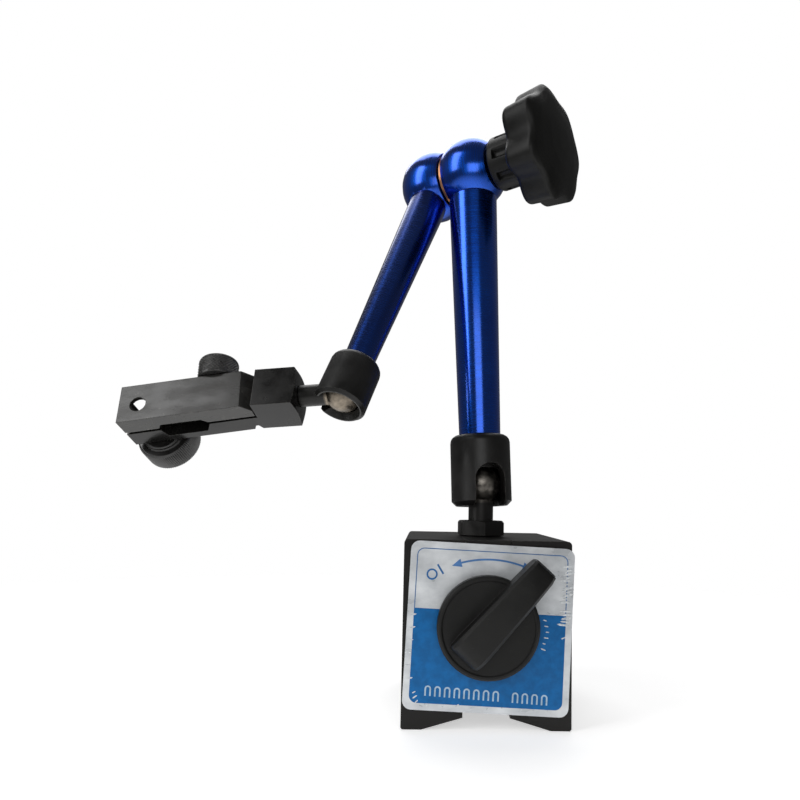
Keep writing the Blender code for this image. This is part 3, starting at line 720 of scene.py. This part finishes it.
def build_print():
    """The blue field with its marks, the frame line, the arrow and the switch mark."""
    blue = ink("blue ink", PLATE, (0.003, 0.15, 0.44))
    line_blue = ink("line ink", PLATE, (0.03, 0.16, 0.42))
    arrow_blue = ink("arrow ink", PLATE, (0.10, 0.25, 0.56))
    pale = ink("pale ink", PLATE, (0.50, 0.66, 0.80))
    corner = BORDER_CORNER
    # The hole reaches past the field's top edge, so the fill leaves a few faces in it, hidden by the switch.
    hole = arc(-PLATE_ACROSS, -PLATE_RISE, SPINDLE_CLEARANCE, 0, 2 * pi, 40)[:-1]
    field = rounded_box(-BORDER, BORDER, -BORDER, FIELD_TOP, (0, 0, corner, corner))
    marks = mark_row()
    printed("label_field", [field, hole] + marks, blue)
    printed("label_marks", marks, pale)
    outer = rounded_box(-BORDER, BORDER, FIELD_TOP, BORDER, (corner, corner, 0, 0))
    inset = BORDER - LINE_WIDTH
    inner_corner = corner - LINE_WIDTH
    inner = rounded_box(-inset, inset, FIELD_TOP + 0.1, inset, (inner_corner, inner_corner, 0, 0))
    printed("label_frame_line", [outer, inner], line_blue)
    printed("label_arrow", [arrow_outline()], arrow_blue)
    ring_outer = arc(0, 0, 1.65, 0, 2 * pi, 32)[:-1]
    ring_inner = arc(0, 0, 1.15, 0, 2 * pi, 32)[:-1]
    bar = rounded_box(-0.27, 0.27, -1.65, 1.65, (0.1, 0.1, 0.1, 0.1))
    tilt = radians(34)
    x, y = -17.7, 14.8
    switch_mark = [placed(ring_outer, x, y), placed(ring_inner, x, y)]
    switch_mark += [placed(bar, x + 2.4, y + 1.6, tilt)]
    printed("label_switch_mark", switch_mark, line_blue)


def mark_row():
    """A row of little magnets along the foot of the field, in two groups."""
    out = []
    step = 2.84
    places = 13
    gap = 8
    for k in range(places):
        if k == gap:
            continue
        out.append(placed(magnet_mark(1.9, 3.0, 0.46), -17.0 + k * step, -18.75 - 0.075 * k))
    return out


def crease(long, wide, high):
    """One crease of the film: a slim ridge that tapers to both ends."""
    half = long / 2
    ring = [(-half, 0), (-half * 0.5, -wide / 2), (half * 0.6, -wide / 2), (half, 0)]
    ring += [(half * 0.5, wide / 2), (-half * 0.6, wide / 2)]
    points = [(x, y, 0) for x, y in ring] + [(-half * 0.4, 0, high), (half * 0.4, 0, high)]
    faces = [(0, 5, 4, 3, 2, 1), (0, 1, 6), (1, 2, 7, 6), (2, 3, 7), (3, 4, 7), (4, 5, 6, 7), (5, 0, 6)]
    return points, faces


def build_film_creases():
    """The clear film has lifted in short creases beside the switch and along the plate's edges."""
    # each row: across, top, foot, how many, length, slant in degrees
    rows = (
        (22.4, 19.2, 8.8, 11, 2.9, 12),
        (21.9, 17.5, 10.5, 5, 1.6, 30),
        (22.2, 6.2, 2.2, 5, 3.3, 6),
        (21.8, -1.6, -1.9, 1, 2.4, 25),
        (16.6, 3.2, -5.2, 6, 1.3, -8),
        (-22.9, 2.8, -15.5, 6, 1.9, 9),
        (-20.5, -19.4, -22.0, 3, 1.5, 40),
    )
    along_foot = 9
    flecks = []
    for x, top, low, count, long, slant in rows:
        for k in range(count):
            y = top + (low - top) * k / max(count - 1, 1)
            sway = sin(5.1 * k + x)
            length = long * (1 + 0.35 * sin(3.3 * k + top))
            flecks.append((x + 0.5 * sway, y, length, radians(slant + 9 * sway)))
    for k in range(along_foot):
        length = 0.9 + 0.5 * sin(2.6 * k) ** 2
        flecks.append((-17.0 + 4.4 * k, -22.9 + 0.4 * sin(4.0 * k), length, radians(50 - 8 * k)))
    points = []
    faces = []
    face_height = plate_face() + PRINT_THICKNESS + PRINT_LIFT
    for x, y, long, angle in flecks:
        shape, loops = crease(long, 0.2 + 0.11 * long, 0.12)
        start = len(points)
        for px, py, pz in shape:
            (qx, qy), = placed([(px, py)], x, y, angle)
            points.append(PLATE @ (Vector((qx, qy, face_height + 0.005 + pz)) * MM))
        faces += [[start + index for index in loop] for loop in loops]
    mesh = bpy.data.meshes.new("film creases")
    mesh.from_pydata(points, [], faces)
    add_piece("label_film_creases", mesh, "base", creased_film("creased film", PLATE))


# ---------------------------------------------------------------- floor, light and camera


def build_floor():
    """A pale round floor that fades out into the white around it."""
    middle = (cad_low + cad_high) / 2
    ground = upright_frame(Vector((middle.x, middle.y, cad_low.z)), UP, Vector((0, 1, 0)))
    size = 700.0
    sides = 96
    fade_start, fade_end = 110.0, 420.0
    points = [(0, 0)] + arc(0, 0, size, 0, 2 * pi, sides)[:-1]
    faces = [(0, 1 + k, 1 + (k + 1) % sides) for k in range(sides)]
    mesh = bpy.data.meshes.new("floor")
    mesh.from_pydata([ground @ Vector((x * MM, y * MM, 0)) for x, y in points], [], faces)
    look = Look("pale floor", ground)
    speckle = look.noise(0.02, 0.02, 0.02, 3.0)
    look.finish(
        Base_Color=look.mix(look.ramp(speckle, 0.0, 1.0), (0.86, 0.86, 0.86), (0.90, 0.90, 0.90)),
        Roughness=0.9,
        Specular_IOR_Level=0.1,
        Emission_Color=(1.0, 1.0, 1.0),
        Emission_Strength=0.55,
    )
    radius = look.node("VectorMath", [(0, look.where)], operation="LENGTH").outputs["Value"]
    look.feed(look.shader.inputs["Alpha"], look.ramp(radius, 1.0, 0.0, fade_start, fade_end))
    plane = bpy.data.objects.new("floor", mesh)
    bpy.context.collection.objects.link(plane)
    mesh.materials.append(look.material)


def build_world():
    """White to look at, dim as a light, so that black parts stay black."""
    world = bpy.data.worlds.new("studio")
    bpy.context.scene.world = world
    world.use_nodes = True
    nodes, links = world.node_tree.nodes, world.node_tree.links
    background = nodes["Background"]
    seen = nodes.new("ShaderNodeLightPath").outputs["Is Camera Ray"]
    blend = nodes.new("ShaderNodeMapRange")
    links.new(seen, blend.inputs["Value"])
    as_light, to_look_at = 0.11, 1.0
    blend.inputs["To Min"].default_value = as_light
    blend.inputs["To Max"].default_value = to_look_at
    links.new(blend.outputs["Result"], background.inputs["Strength"])
    background.inputs["Color"].default_value = (1, 1, 1, 1)


def toward(azimuth, elevation):
    """A direction: azimuth in degrees to the left of the viewer, elevation in degrees."""
    a, e = radians(azimuth), radians(elevation)
    return Vector((-sin(a) * cos(e), -cos(a) * cos(e), sin(e)))


def softbox(name, target, direction, distance, width, height, radiance):
    """A rectangular light aimed at a target: metres, and the brightness of its face."""
    light = bpy.data.lights.new(name, "AREA")
    light.shape = "RECTANGLE"
    light.size, light.size_y = width, height
    light.energy = radiance * pi * width * height
    lamp = bpy.data.objects.new(name, light)
    bpy.context.collection.objects.link(lamp)
    lamp.location = target + direction * distance
    lamp.rotation_euler = direction.to_track_quat("Z", "Y").to_euler()
    lamp.visible_camera = False


def build_lights():
    """A tall window on the left, a small light over the camera, and a wide one above and behind."""
    head = place("pivot_turn")
    softbox("window", head, toward(61.5, 28.0), distance=1.2, width=0.48, height=1.14, radiance=3.6)
    tube = (place("arm_tilt") + place("elbow")) / 2
    softbox("front", tube, toward(2.0, 7.0), distance=0.28, width=0.17, height=0.13, radiance=2.0)
    softbox("overhead", tube, toward(175.0, 60.0), distance=1.1, width=1.0, height=1.0, radiance=2.2)


def build_camera():
    """Low and close, looking slightly up, as the stand is usually pictured on a bench."""
    stand_off = 240.7
    across = 2.5
    height = 65.7
    yaw, pitch, roll = radians(1.108), radians(4.398), radians(1.063)
    forward = Vector((sin(yaw) * cos(pitch), cos(yaw) * cos(pitch), sin(pitch)))
    right = Vector((cos(yaw), -sin(yaw), 0))
    up = right.cross(forward)
    rolled_right = right * cos(roll) + up * sin(roll)
    rolled_up = up * cos(roll) - right * sin(roll)
    data = bpy.data.cameras.new("camera")
    data.sensor_width = 36.0
    data.lens = 31.73
    data.shift_x, data.shift_y = -0.0479, 0.0614
    data.clip_start = 0.005
    camera = bpy.data.objects.new("camera", data)
    bpy.context.collection.objects.link(camera)
    aim = Matrix((rolled_right, rolled_up, -forward)).transposed().to_4x4()
    aim.translation = Vector((across, -stand_off, height)) * MM
    camera.matrix_world = aim
    bpy.context.scene.camera = camera


smooth_cad()
dress_cad()
build_star_knob()
build_pivot_screw()
build_thumbscrew()
build_print()
build_film_creases()
build_floor()
build_world()
build_lights()
build_camera()
bpy.context.scene.view_settings.view_transform = "Standard"
